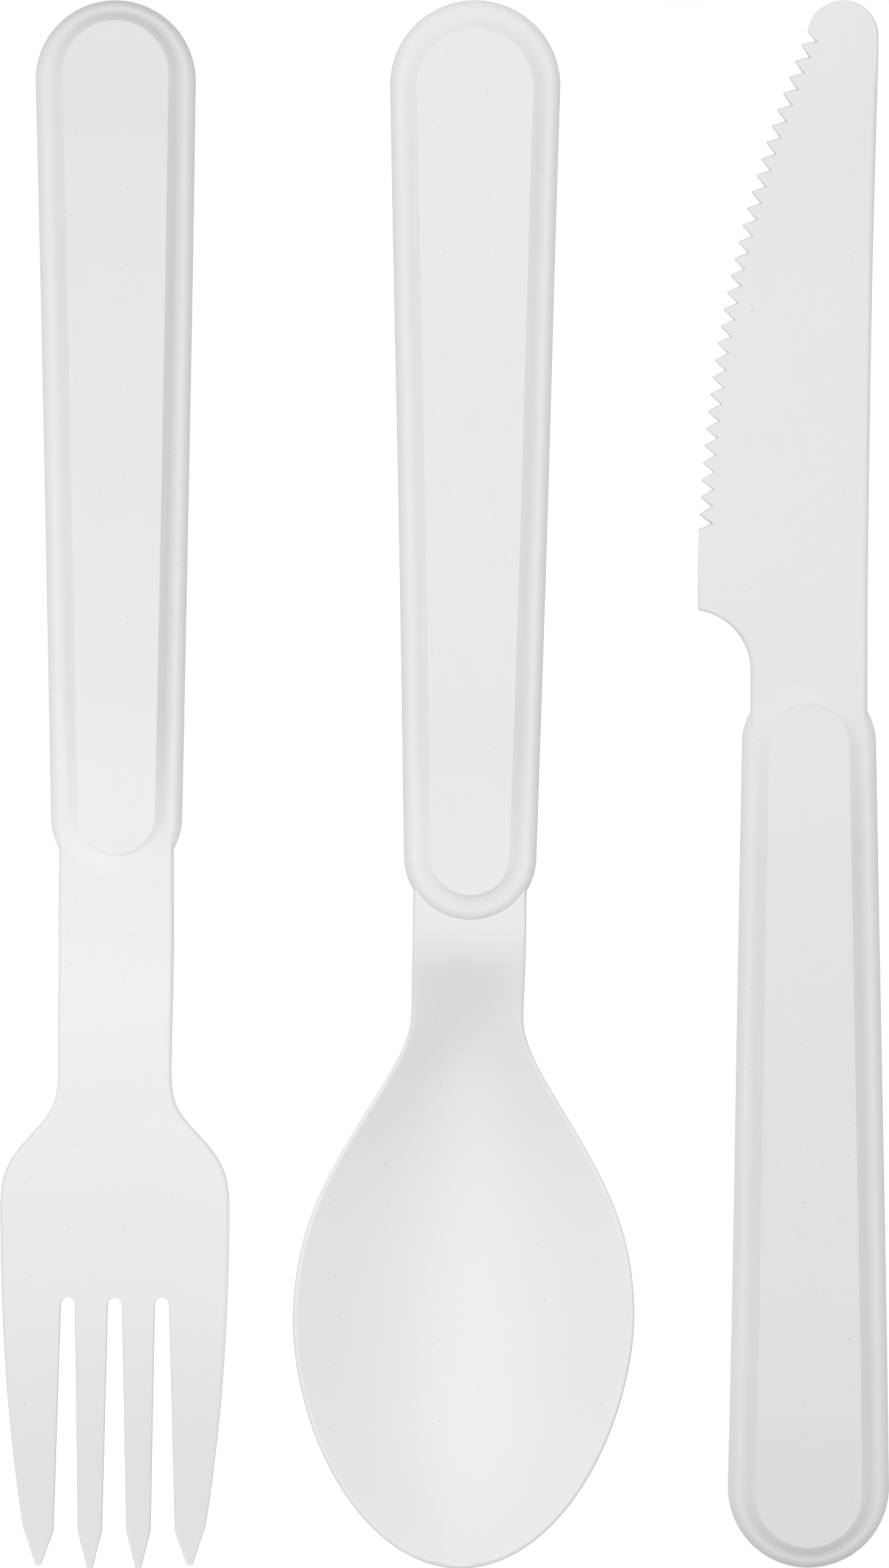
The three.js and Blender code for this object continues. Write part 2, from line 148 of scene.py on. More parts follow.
SIDE_FOOT = 1.5 * MM  # the side of a handle is straight down to here, and the rim starts
RIM_TURNS = (0.25 * MM, 0.2 * MM)  # radii of the rim's outer and inner edges
CEILING_TURN = 0.5 * MM  # radius between the hollow's wall and its ceiling
CEILING_EDGE = 0.9 * MM  # how far the section goes on along the ceiling

START_PAST_NOSE = 2 * MM  # the straight sides of a neck start this far past the nose's centre
START_INSET = 1.9 * MM  # the arc that a neck starts on lies this far inside the nose
START_SPAN = (21, 159)  # and goes from one angle to the other, in degrees

# Painted light and shade along each piece, as (y in mm, share): the plastic's colour is made lighter
# where the piece should look more brightly lit, as in the spoon's bowl, and darker where it should look
# less lit.
FORK_PAINTED_LIGHT = [(-75, 0.97), (-60, 0.962), (-50, 0.955), (-38, 1.025), (-12, 1.02), (15, 0.99), (80, 0.97)]
SPOON_PAINTED_LIGHT = [
    (-85, 1.045), (-70, 1.06), (-48, 1.09), (-36, 1.07), (-27, 1.0), (-20, 1.0), (-15, 1.03), (10, 1.0),
]
KNIFE_PAINTED_LIGHT = [(-85, 0.965), (-65, 0.99), (-10, 1.0), (20, 1.025), (50, 1.02), (72, 0.995), (88, 1.01)]


# ---- Settings ----


def length(name, description, default, **more):
    """A length property, given in millimetres and stored in metres."""
    return FloatProperty(
        name=name, description=description, default=default * MM, unit="LENGTH", precision=5, **more
    )


def angle(name, description, degrees):
    """An angle property, given in degrees."""
    return FloatProperty(
        name=name, description=description, default=math.radians(degrees), subtype="ANGLE"
    )


def insets(name, description, values):
    """Three insets from the outline: the shoulder, the foot of the panel's wall, the panel."""
    return FloatVectorProperty(
        name=name, description=description, default=[v * MM for v in values], size=3, unit="LENGTH"
    )


def share(name, description, default):
    """A plain number, given as a share of something else."""
    return FloatProperty(name=name, description=description, default=default)


class HandleSettings(bpy.types.PropertyGroup):
    """Section shared by the three handles, measured in from the outline."""

    height: length("Height", "Raised panel above the rim that the handle lies on", 5.55)
    relief: insets("Relief", "Shoulder, foot and panel along the sides", (1.1, 2.42, 3.1))
    panel_edge: length("Panel edge", "Radius along the panel's top edge", 0.22)
    wall_slope: angle("Wall slope", "Slope of the panel's wall", 38)
    cove_slope: angle("Cove slope", "Slope of the cove where it meets the wall", 46)
    shoulder_slope: angle("Shoulder slope", "Slope of the shoulder between the cove and the side", 7)
    edge_roll: length("Edge roll", "Height over which the shoulder rolls down to the side", 1.0)
    rim_width: length("Rim width", "Wall round the hollow underside", 1.1)
    top_wall: length("Top wall", "Plastic between the panel and the hollow", 2.3)
    draft: length("Draft", "How far the hollow's walls lean in", 0.3)


class ForkSettings(bpy.types.PropertyGroup):
    """Sizes of the fork."""

    butt_radius: length("Butt radius", "Round end of the handle", 9.2)
    nose_radius: length("Nose radius", "End of the handle at the neck", 7.52)
    handle_length: length("Handle length", "From butt to the end at the neck", 101.3)
    steepness: share("Steepness", "Slopes of the relief, as a share", 1.15)
    butt_relief: insets("Butt relief", "Shoulder, foot and panel at the butt", (0.91, 1.79, 2.35))
    nose_relief: insets("Nose relief", "Shoulder, foot and panel at the nose", (0.5, 3.05, 3.35))
    butt_eased: share("Butt eased", "Share of the panel's height that it loses at the butt", 0.35)
    nose_eased: share("Nose eased", "Share of the panel's height that it loses at the nose", 0.6)
    neck_step: length("Neck step", "Neck below the shoulder", 0.03)
    plate: length("Plate", "Thickness of the neck", 2.2)
    tine_plate: length("Tine plate", "Thickness of the tines", 1.9)
    slot_top: length("Slot top", "Where the slots start", 149.0)
    slot_half: length("Slot half width", "Half a slot's width at its top", 0.79)
    slot_end_half: length("Slot end half width", "Half a slot's width beside the points", 1.38)
    slot_pitch: length("Slot pitch", "From the middle slot to an outer one", 5.4)
    tip_radius: length("Tip radius", "Round point of a tine", 0.26)
    edge: length("Edge", "Radius along the edges of the plate", 0.24)
    rounder: share("Rounder", "Radius along the outer edges, in radii of the plate's other edges", 2.2)


class SpoonSettings(bpy.types.PropertyGroup):
    """Sizes of the spoon."""

    butt_radius: length("Butt radius", "Round end of the handle", 9.78)
    nose_radius: length("Nose radius", "End of the handle at the neck", 7.6)
    handle_length: length("Handle length", "From butt to the end at the neck", 105.9)
    steepness: share("Steepness", "Slopes of the relief, as a share", 0.75)
    butt_relief: insets("Butt relief", "Shoulder, foot and panel at the butt", (1.0, 2.7, 3.3))
    nose_relief: insets("Nose relief", "Shoulder, foot and panel at the nose", (1.3, 2.85, 3.15))
    butt_eased: share("Butt eased", "Share of the panel's height that it loses at the butt", 0.2)
    nose_eased: share("Nose eased", "Share of the panel's height that it loses at the nose", 0.4)
    neck_step: length("Neck step", "Neck below the shoulder", 0.42)
    bowl_half: length("Bowl half width", "Half the width of the bowl", 19.6)
    bowl_widest: length("Bowl widest", "Where the bowl is widest", 151.4)
    bowl_depth: length("Bowl depth", "Depth of the bowl under its rim", 5.6)
    tip_across: share("Tip across", "Exponent of the tip, across", 1.98)
    tip_along: share("Tip along", "Exponent of the tip, along", 1.78)
    bowl_start: length("Bowl start", "Where the neck begins to hollow", 109.0)
    bowl_deepest: length("Bowl deepest", "Where the bowl is deepest", 149.0)
    bowl_entry: share("Bowl entry", "Exponent of the slope from the neck to the deepest line", 1.4)
    bowl_exit: share("Bowl exit", "Exponent of the slope from the deepest line to the tip", 2.3)
    neck_wall: length("Neck wall", "Thickness of the neck", 2.2)
    bowl_wall: length("Bowl wall", "Thickness of the bowl", 1.5)
    lip: length("Lip", "Flat edge round the bowl", 0.5)
    rim_radius: length("Rim radius", "Rounding of the rim, above", 0.36)
    belly_radius: length("Belly radius", "Rounding of the rim, underneath", 0.5)
    tilt: angle("Tilt", "Lean of the spoon on the table", 0.573)


class KnifeSettings(bpy.types.PropertyGroup):
    """Sizes of the knife."""

    butt_radius: length("Butt radius", "Round end of the handle", 9.25)
    nose_radius: length("Nose radius", "End of the handle at the neck", 7.7)
    handle_length: length("Handle length", "From butt to the end at the neck", 102.3)
    steepness: share("Steepness", "Slopes of the relief, as a share", 1.05)
    butt_relief: insets("Butt relief", "Shoulder, foot and panel at the butt", (0.91, 1.79, 2.35))
    nose_relief: insets("Nose relief", "Shoulder, foot and panel at the nose", (0.9, 3.1, 3.4))
    butt_eased: share("Butt eased", "Share of the panel's height that it loses at the butt", 0.3)
    nose_eased: share("Nose eased", "Share of the panel's height that it loses at the nose", 0.6)
    neck_step: length("Neck step", "Neck below the shoulder", 0.02)
    neck_left: length("Neck left", "Toothed side of the neck, from the axis", 6.75)
    heel_left: length("Heel left", "Heel of the blade, from the axis", 12.78)
    heel_hollow: length("Heel hollow", "Radius of the hollow between neck and heel", 7.0)
    heel_start: length("Heel start", "Where the hollow leaves the neck", 103.0)
    tip_across: length("Tip across", "Centre of the round tip, from the axis", 3.86)
    tip_along: length("Tip along", "Centre of the round tip, from the butt", 175.9)
    tip_radius: length("Tip radius", "Round tip of the blade", 4.1)
    spine: length("Spine", "Thickness along the back of the blade", 2.0)
    edge: length("Edge", "Radius along the edges of the blade", 0.35)
    rounder: share("Rounder", "Radius along the spine and the neck, in radii of the edge", 1.7)
    tooth_edge: length("Tooth edge", "Thickness at the points of the teeth", 0.5)
    ground_step: length("Ground step", "Step down from the spine to the ground face", 0.025)
    ground_groove: length("Ground groove", "Depth of the groove beside the step", 0.008)
    teeth: IntProperty(name="Teeth", description="Number of saw teeth", default=29, min=2)
    tooth_depth: length("Tooth depth", "Depth of the notches before their points are rounded", 1.45)
    tooth_round: share("Tooth round", "Roundness of a point, in pitches", 0.05)
    bevel_flat: length("Bevel flat", "Half the height between the bevels of the teeth", 0.04)
    bevel_slope: share("Bevel slope", "Inset for each unit of height", 0.75)
    arc_x: length("Arc centre across", "Centre of the toothed edge's arc, from the axis", 151.77)
    arc_y: length("Arc centre along", "Centre of the toothed edge's arc, from the butt", 113.5)
    arc_radius: length("Arc radius", "Radius of the arc through the points of the teeth", 164.55)
    first_tooth: angle("First tooth", "Angle of the tooth at the heel, about the arc's centre", 177.4)
    last_tooth: angle("Last tooth", "Angle of the tooth at the tip, about the arc's centre", 158.1)


class PlasticSettings(bpy.types.PropertyGroup):
    """Look of the white plastic."""

    colour: FloatVectorProperty(name="Colour", description="Colour of the plastic", size=3,
                                subtype="COLOR", default=(0.76, 0.76, 0.76), min=0, max=1)
    roughness: FloatProperty(name="Roughness", description="Roughness of the surface",
                             default=0.42, min=0, max=1, subtype="FACTOR")
    grain: length("Grain", "Pitch of the fine moulded grain", 0.3)
    speck_gap: length("Speck gap", "Size of the cells that may hold a speck each", 6.0)


class CutlerySettings(bpy.types.PropertyGroup):
    """All settings of the set."""

    handle: PointerProperty(type=HandleSettings)
    fork: PointerProperty(type=ForkSettings)
    spoon: PointerProperty(type=SpoonSettings)
    knife: PointerProperty(type=KnifeSettings)
    plastic: PointerProperty(type=PlasticSettings)


# ---- Node trees written as expressions ----


class Value:
    """A node socket that takes part in arithmetic by adding Math nodes to its tree."""

    def __init__(self, tree, socket):
        self.tree = tree
        self.socket = socket

    def math(self, operation, *others):
        """The result of a Math node on this value and others."""
        return self.tree.add("ShaderNodeMath", {"operation": operation}, self, *others)

    def __add__(self, other):
        return self.math("ADD", other)

    __radd__ = __add__

    def __mul__(self, other):
        return self.math("MULTIPLY", other)

    __rmul__ = __mul__

    def __sub__(self, other):
        return self.math("SUBTRACT", other)

    def __rsub__(self, other):
        return self.tree.add("ShaderNodeMath", {"operation": "SUBTRACT"}, other, self)

    def __truediv__(self, other):
        return self.math("DIVIDE", other)

    def __rtruediv__(self, other):
        return self.tree.add("ShaderNodeMath", {"operation": "DIVIDE"}, other, self)

    def __pow__(self, other):
        return self.math("POWER", other)

    def clamped(self):
        """The value kept between 0 and 1."""
        return self.tree.add("ShaderNodeClamp", {}, self, 0.0, 1.0)


class Tree:
    """Adds nodes to a shader or geometry node tree."""

    def __init__(self, tree):
        self.tree = tree

    def node(self, kind, settings, *values, **named):
        """A new node, its settings made first and then its sockets, by order or by name."""
        node = self.tree.nodes.new(kind)
        for name, setting in settings.items():
            setattr(node, name, setting)
        sockets = [s for s in node.inputs if s.enabled]
        pairs = list(zip(sockets, values))
        pairs += [(self.find(sockets, name), value) for name, value in named.items()]
        for socket, value in pairs:
            if isinstance(value, Value):
                self.tree.links.new(value.socket, socket)
            elif value is not None:
                socket.default_value = value
        return node

    @staticmethod
    def find(sockets, name):
        """The socket of a name, whose spaces may be given as underscores."""
        wanted = name.replace("_", " ").lower()
        return next(s for s in sockets if s.name.lower() == wanted)

    def add(self, kind, settings, *values, output=None, **named):
        """A new node's output as a Value: the named one, or the first that is in use."""
        node = self.node(kind, settings, *values, **named)
        outputs = [s for s in node.outputs if s.enabled]
        return Value(self, self.find(outputs, output) if output else outputs[0])


# ---- Curves and outlines ----


def smooth_through(stations):
    """A curve with no kinks through (distance, height) stations, as a function of distance."""
    x, y = np.array(stations, float).T * MM
    gap = np.diff(x)
    rise = np.diff(y) / gap
    system = np.eye(len(x))
    wanted = np.zeros(len(x))
    for i in range(1, len(x) - 1):
        system[i, i - 1:i + 2] = gap[i - 1], 2 * (gap[i - 1] + gap[i]), gap[i]
        wanted[i] = 6 * (rise[i] - rise[i - 1])
    bend = np.linalg.solve(system, wanted)

    def height(at):
        at = np.asarray(at, float)
        i = np.clip(np.searchsorted(x, at) - 1, 0, len(x) - 2)
        a = (x[i + 1] - at) / gap[i]
        b = 1 - a
        curved = ((a**3 - a) * bend[i] + (b**3 - b) * bend[i + 1]) * gap[i] ** 2 / 6
        return a * y[i] + b * y[i + 1] + curved

    return height


def smooth_step(value, start, end):
    """Goes smoothly from 0 at the start to 1 at the end."""
    t = np.clip((np.asarray(value, float) - start) / (end - start), 0, 1)
    return t * t * (3 - 2 * t)


def fade(y, stretch):
    """The same over a stretch along a piece, given in millimetres, at one place."""
    return float(smooth_step(y, stretch[0] * MM, stretch[1] * MM))


def arc(centre, radius, start, end, steps):
    """Points on an arc, from one angle to another in degrees, both ends included."""
    angles = np.radians(np.linspace(start, end, steps + 1))
    return [(centre[0] + radius * math.cos(a), centre[1] + radius * math.sin(a)) for a in angles]


def rounded(corners, steps):
    """A line through (x, y, radius) corners, each turned by an arc of its radius."""
    points = []
    for i, (x, y, radius) in enumerate(corners):
        if radius == 0 or i in (0, len(corners) - 1):
            points.append((x, y))
            continue
        here = np.array((x, y))
        back = np.array(corners[i - 1][:2]) - here
        ahead = np.array(corners[i + 1][:2]) - here
        back /= np.linalg.norm(back)
        ahead /= np.linalg.norm(ahead)
        half = math.acos(float(np.clip(back @ ahead, -1, 1))) / 2
        towards = (back + ahead) / np.linalg.norm(back + ahead)
        middle = here + towards * (radius / math.sin(half))
        reach = radius / math.tan(half)
        start = here + back * reach - middle
        end = here + ahead * reach - middle
        first = math.atan2(start[1], start[0])
        turn = (math.atan2(end[1], end[0]) - first + math.pi) % (2 * math.pi) - math.pi
        for k in range(steps + 1):
            angle = first + turn * k / steps
            points.append((middle[0] + radius * math.cos(angle), middle[1] + radius * math.sin(angle)))
    return points


# ---- Meshes ----


def new_object(name, mesh):
    """A new object in the scene."""
    piece = bpy.data.objects.new(name, mesh)
    bpy.context.scene.collection.objects.link(piece)
    return piece


def to_mesh(bm, name):
    """A plain mesh from a bmesh, which is then freed."""
    mesh = bpy.data.meshes.new(name)
    bm.to_mesh(mesh)
    bm.free()
    return mesh


def settled(piece):
    """The object's evaluated shape as a plain mesh, with its modifiers gone."""
    evaluated = piece.evaluated_get(bpy.context.evaluated_depsgraph_get())
    mesh = bpy.data.meshes.new_from_object(evaluated)
    piece.modifiers.clear()
    return mesh


def fill_across(bm, row):
    """Closes a loop with strips between its two halves, from its first point to its middle one."""
    for i in range(len(row) // 2):
        corners = (row[i], row[i + 1], row[-i - 1], row[-i])
        bm.faces.new(tuple(dict.fromkeys(corners)))


def skin(rings):
    """A closed body skinned over a row of rings that have the same number of points."""
    bm = bmesh.new()
    rows = [[bm.verts.new(point) for point in ring] for ring in rings]
    count = len(rows[0])
    for low, high in zip(rows, rows[1:]):
        for i in range(count):
            j = (i + 1) % count
            bm.faces.new((low[i], low[j], high[j], high[i]))
    fill_across(bm, rows[0])
    fill_across(bm, rows[-1])
    bmesh.ops.recalc_face_normals(bm, faces=bm.faces)
    return bm


def slice_up(bm, normal, distances):
    """Cuts every face along parallel planes, so that the face can follow a curve."""
    for distance in distances:
        everything = bm.verts[:] + bm.edges[:] + bm.faces[:]
        bmesh.ops.bisect_plane(bm, geom=everything, dist=1e-8, plane_co=normal * distance,
                               plane_no=normal)


def bend(bm, heights, axis=2):
    """Moves every point by an amount that depends on its distance along the piece."""
    moves = heights([v.co.y for v in bm.verts])
    for vert, move in zip(bm.verts, moves):
        vert.co[axis] += move


def sway(piece, stations):
    """Shifts a piece sideways along its length."""
    bm = bmesh.new()
    bm.from_mesh(piece.data)
    bend(bm, smooth_through(stations), axis=0)
    bm.to_mesh(piece.data)
    bm.free()


def joined(first, second, operation="UNION"):
    """Joins or cuts one body with another and removes the second."""
    modifier = first.modifiers.new(operation, "BOOLEAN")
    modifier.operation = operation
    modifier.solver = "EXACT"
    modifier.object = second
    first.data = settled(first)
    bpy.data.objects.remove(second)
    return first


# ---- Shapes that follow an outline ----


def inputs_of(group, sockets):
    """Gives a node group its named inputs and one geometry output."""
    for name, kind in sockets:
        group.interface.new_socket(name, in_out="INPUT", socket_type=kind)
    group.interface.new_socket("Shape", in_out="OUTPUT", socket_type="NodeSocketGeometry")
    tree = Tree(group)
    given = tree.node("NodeGroupInput", {})
    return tree, {s.name: Value(tree, s) for s in given.outputs if s.name}


def sweep_tree():
    """Geometry nodes that carry a section round an outline. `butt` and `nose` on a section's
    points shift them along the piece at its two ends, where a handle's relief is spaced anew."""
    group = bpy.data.node_groups.new("Section round an outline", "GeometryNodeTree")
    tree, given = inputs_of(group, [
        ("Outline", "NodeSocketGeometry"),
        ("Section", "NodeSocketObject"),
        ("Start", "NodeSocketFloat"),
        ("End", "NodeSocketFloat"),
        ("Material", "NodeSocketMaterial"),
    ])
    section = tree.add("GeometryNodeObjectInfo", {}, Object=given["Section"], output="Geometry")
    profile = tree.add("GeometryNodeMeshToCurve", {}, section)
    path = tree.add("GeometryNodeMeshToCurve", {}, given["Outline"])
    level = tree.add("GeometryNodeSetCurveNormal", {"mode": "Z_UP"}, path)
    swept = tree.add("GeometryNodeCurveToMesh", {}, Curve=level, Profile_Curve=profile)
    butt = tree.add("GeometryNodeInputNamedAttribute", {"data_type": "FLOAT"}, "butt")
    nose = tree.add("GeometryNodeInputNamedAttribute", {"data_type": "FLOAT"}, "nose")
    place = tree.add("GeometryNodeInputPosition", {})
    along = tree.add("ShaderNodeSeparateXYZ", {}, place, output="Y")
    towards = tree.add("ShaderNodeMapRange", {}, Value=along, From_Min=given["Start"],
                       From_Max=given["End"])
    shift = tree.add("ShaderNodeCombineXYZ", {}, Y=butt + (nose - butt) * towards)
    shifted = tree.add("GeometryNodeSetPosition", {}, swept, Offset=shift)
    real = tree.add("GeometryNodeRealizeInstances", {}, shifted)
    done = tree.add("GeometryNodeSetMaterial", {}, real, Material=given["Material"])
    tree.node("NodeGroupOutput", {}, done)
    return group


def run_tree(piece, group, values):
    """Shapes a piece with a node group and returns the result as a plain mesh."""
    modifier = piece.modifiers.new(group.name, "NODES")
    modifier.node_group = group
    for item in group.interface.items_tree:
        if item.in_out == "INPUT" and item.name in values:
            modifier[item.identifier] = values[item.name]
    mesh = settled(piece)
    bpy.data.node_groups.remove(group)
    return mesh


def line_mesh(name, points, closed):
    """A mesh of edges through flat points."""
    edges = [(i, i + 1) for i in range(len(points) - 1)]
    if closed:
        edges.append((len(points) - 1, 0))
    mesh = bpy.data.meshes.new(name)
    mesh.from_pydata([(x, y, 0) for x, y in points], edges, [])
    return mesh


def swept(outline, section, shifts, span, material):
    """Rows of points, one row for each point of the section, swept round a clockwise outline. The
    section is given as (inset from the outline, height) points, and `shifts` moves its points
    along the piece at the start and at the end of the span."""
    profile = new_object("section", line_mesh("section", [(x, -z) for x, z in section], False))
    for name, values in zip(("butt", "nose"), shifts):
        profile.data.attributes.new(name, "FLOAT", "POINT").data.foreach_set("value", values)
    piece = new_object("swept", line_mesh("swept", outline, True))
    values = {"Section": profile, "Start": span[0], "End": span[1], "Material": material}
    mesh = run_tree(piece, sweep_tree(), values)
    bpy.data.objects.remove(profile)
    bpy.data.objects.remove(piece)
    bm = bmesh.new()
    bm.from_mesh(mesh)
    bm.verts.ensure_lookup_table()
    count = len(section)
    rows = [[bm.verts[i * count + k] for i in range(len(outline))] for k in range(count)]
    return bm, rows


# ---- Handles ----


def handle_outline(sizes):
    """Plan of a handle, clockwise from the butt: two round ends joined by straight sides."""
    butt, nose, end = sizes.butt_radius, sizes.nose_radius, sizes.handle_length
    lean = math.degrees(math.asin((butt - nose) / (end - butt - nose)))
    round_butt = arc((0, butt), butt, -90, lean, 40)
    round_nose = arc((0, end - nose), nose, lean, 90, 40)
    (x0, y0), (x1, y1) = round_butt[-1], round_nose[0]
    side = [(x0 + t * (x1 - x0), y0 + t * (y1 - y0)) for t in np.linspace(0, 1, 61)[1:-1]]
    right = round_butt + side + round_nose
    return [(-x, y) for x, y in right] + right[-2:0:-1]


def relief_heights(settings, steepness):
    """Heights of the shoulder and of the foot of the panel's wall, and the cove's radius."""
    shoulder, foot, panel = settings.relief
    foot_height = settings.height - (panel - foot) * math.tan(settings.wall_slope * steepness)
    steep, flat = settings.cove_slope * steepness, settings.shoulder_slope
    radius = (foot - shoulder) / (math.sin(steep) - math.sin(flat))
    level = foot_height - radius * (math.cos(flat) - math.cos(steep))
    return level, foot_height, radius


def handle_section(settings, steepness):
    """Section of a handle's edge: from the panel down its wall to the shoulder and down the side,
    and then round the rim and up into the hollow."""
    top = settings.height
    shoulder, foot, panel = settings.relief
    steep, flat = settings.cove_slope * steepness, settings.shoulder_slope
    level, foot_height, radius = relief_heights(settings, steepness)
    over = rounded([
        (panel + 4 * settings.panel_edge, top, 0),
        (panel, top, settings.panel_edge),
        (foot, foot_height, 0),
    ], 6)
    for slope in np.linspace(steep, flat, 13)[1:]:
        x = shoulder + radius * (math.sin(slope) - math.sin(flat))
        over.append((x, level + radius * (math.cos(flat) - math.cos(slope))))
    for turn in np.radians(np.linspace(0, 90, 15))[1:]:
        x = shoulder * (1 - math.sin(turn))
        fall = settings.edge_roll * (1 - math.cos(turn)) + (shoulder - x) * math.tan(flat)
        over.append((x, level - fall))
    ceiling = top - settings.top_wall
    rim, lean = settings.rim_width, settings.draft
    under = rounded([
        (0, SIDE_FOOT, 0),
        (0, 0, RIM_TURNS[0]),
        (rim, 0, RIM_TURNS[1]),
        (rim + lean, ceiling, CEILING_TURN),
        (rim + lean + CEILING_EDGE, ceiling, 0),
    ], 4)
    return over, under


def ease(bm, sizes, level):
    """Brings the panel down towards the shoulder near both ends of a handle."""
    for vert in bm.verts:
        at_nose = fade(vert.co.y - sizes.handle_length, NOSE_EASE)
        at_butt = 1 - fade(vert.co.y, BUTT_EASE)
        if vert.co.z > level:
            kept = 1 - sizes.nose_eased * at_nose - sizes.butt_eased * at_butt
            vert.co.z = level + (vert.co.z - level) * kept


def make_handle(sizes, lift, material):
    """A handle with its rolled edge, its raised panel and its hollow underside."""
    settings = bpy.context.scene.cutlery.handle
    over, under = handle_section(settings, sizes.steepness)
    far = 20 * MM
    sides = [0, *settings.relief, far]

    def inset_at(x, relief):
        return float(np.interp(x, sides, [0, *relief, far + relief[2] - settings.relief[2]]))

    butt = [inset_at(x, sizes.butt_relief) - x for x, _ in over] + [0] * len(under)
    nose = [x - inset_at(x, sizes.nose_relief) for x, _ in over] + [0] * len(under)
    span = (sizes.butt_radius, sizes.handle_length - sizes.nose_radius)
    bm, rows = swept(handle_outline(sizes), over + under, (butt, nose), span, material)
    fill_across(bm, rows[0])
    fill_across(bm, rows[-1])
    ease(bm, sizes, relief_heights(settings, sizes.steepness)[0])
    bend(bm, lift)
    bmesh.ops.recalc_face_normals(bm, faces=bm.faces)
    return new_object("handle", to_mesh(bm, "handle"))


def neck_top(sizes):
    """Height of a neck's upper face before the piece is bent."""
    level, _, _ = relief_heights(bpy.context.scene.cutlery.handle, sizes.steepness)
    return level - sizes.neck_step


def side_start(sizes):
    """Where the straight sides of a neck start, inside the handle."""
    return sizes.handle_length - sizes.nose_radius + START_PAST_NOSE


def plate_start(sizes):
    """The end of a neck inside the handle: an arc round the nose's centre, from right to left."""
    middle = (0, sizes.handle_length - sizes.nose_radius)
    return arc(middle, sizes.nose_radius - START_INSET, *START_SPAN, 24)


def plate(outline, section, material):
    """A flat plate with a clockwise outline, its edge shaped by a section."""
    level = [0] * len(section)
    bm, rows = swept(outline, section, (level, level), (0, 1), material)
    bm.faces.new(rows[0])
    bm.faces.new(rows[-1])
    bmesh.ops.recalc_face_normals(bm, faces=bm.faces)
    return bm


def edge_section(thickness, radius, steps):
    """Section of a plate's rounded edge, from its upper face to its lower face."""
    upper = [
        (radius * (1 - math.sin(a)), thickness / 2 - radius * (1 - math.cos(a)))
        for a in np.radians(np.linspace(0, 90, steps + 1))
    ]
    return upper + [(x, -z) for x, z in reversed(upper)]


def widen(vert, inside, way, times, half_thickness):
    """Makes a plate's rounded edge some times larger at a point that lies inside the outline."""
    vert.co.x += way[0] * inside * (times - 1)
    vert.co.y += way[1] * inside * (times - 1)
    fall = (half_thickness - abs(vert.co.z)) * times
    vert.co.z = math.copysign(half_thickness - fall, vert.co.z)


# ---- Fork ----


def fork_outline(f):
    """Plan of the fork past its handle, clockwise from the start of the neck."""
    half = smooth_through(FORK_HALF)
    neck, shoulders, tines = np.arange(98, 122, 4), np.arange(122, 142, 0.5), np.arange(142, 175.1, 1.5)
    stations = [side_start(f), *neck * MM, *shoulders * MM, *tines * MM]
    right = [(float(half(y)), y) for y in stations]
    slot = f.slot_top + f.slot_half
    pitch, wide = f.slot_pitch, f.slot_end_half
    right += rounded([
        (*right[-1], 0),
        *[(x * MM, y * MM, f.tip_radius) for x, y in OUTER_POINT],
        (pitch + SLOT_SPREAD + wide, SLOT_END, POINT_TURN),
        (pitch + f.slot_half, slot, 0),
    ], 6)[1:-1]
    right += arc((pitch, slot), f.slot_half, 0, -180, 16)
    right += rounded([
        (*right[-1], 0),
        (pitch + SLOT_SPREAD - wide, SLOT_END, POINT_TURN),
        *[(x * MM, y * MM, f.tip_radius) for x, y in INNER_POINT],
        (wide, SLOT_END, POINT_TURN),
        (f.slot_half, slot, 0),
    ], 6)[1:-1]
    right += arc((0, slot), f.slot_half, 0, -90, 8)
    left = [(-x, y) for x, y in right]
    return left + right[-2::-1] + plate_start(f)


def shape_fork(f, bm):
    """Rounds the fork's outer edges more, thins its plate and brings it up to the neck's height."""
    half = smooth_through(FORK_HALF)
    step = 0.1 * MM
    for vert in bm.verts:
        x, y, _ = vert.co
        lean = math.hypot(1, float(half(y + step) - half(y - step)) / (2 * step))
        inside = (float(half(y)) - abs(x)) / lean
        if inside < 1.1 * f.edge:
            rounder = 1 + (f.rounder - 1) * (1 - fade(y, FORK_SHARPENS))
            widen(vert, inside, (math.copysign(lean, -x), 0), rounder, f.plate / 2)
        thickness = f.plate + fade(y, FORK_THINS) * (f.tine_plate - f.plate)
        below = f.plate / 2 - vert.co.z
        vert.co.z = neck_top(f) - below * thickness / f.plate


def make_fork(material):
    """The fork: its handle, and a neck and head cut from one bent plate."""
    f = bpy.context.scene.cutlery.fork
    lift = smooth_through(FORK_LIFT)
    bm = plate(fork_outline(f), edge_section(f.plate, f.edge, 5), material)
    slice_up(bm, Vector((0, 1, 0)), FORK_CUTS * MM)
    shape_fork(f, bm)
    bend(bm, lift)
    body = new_object("fork_body", to_mesh(bm, "fork_body"))
    fork = joined(make_handle(f, lift, material), body)
    sway(fork, FORK_SWAY)
    low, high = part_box("fork")
    place = Matrix.Translation(((low.x + high.x) / 2, high.y, 0)) @ Matrix.Rotation(math.pi, 4, "Z")
    return finished(fork, "fork", place, material)


# ---- Spoon ----


def spoon_half(s, y, inset):
    """Half the width of the spoon past its handle, at a distance and in from its edge."""
    if y <= s.bowl_widest:
        return float(smooth_through(SPOON_HALF)(y)) - inset
    t = min((y - s.bowl_widest) / (PIECE_LENGTH - inset - s.bowl_widest), 1)
    return (s.bowl_half - inset) * (1 - t**s.tip_along) ** (1 / s.tip_across)


def spoon_depth(s, y):
    """Depth of the bowl's middle line below its rim."""
    if y <= s.bowl_start:
        return 0
    if y <= s.bowl_deepest:
        t = (y - s.bowl_start) / (s.bowl_deepest - s.bowl_start)
        return s.bowl_depth * math.sin(t * math.pi / 2) ** s.bowl_entry
    t = min((y - s.bowl_deepest) / (PIECE_LENGTH - s.lip - s.bowl_deepest), 1)
    return s.bowl_depth * (1 - t**s.bowl_exit)


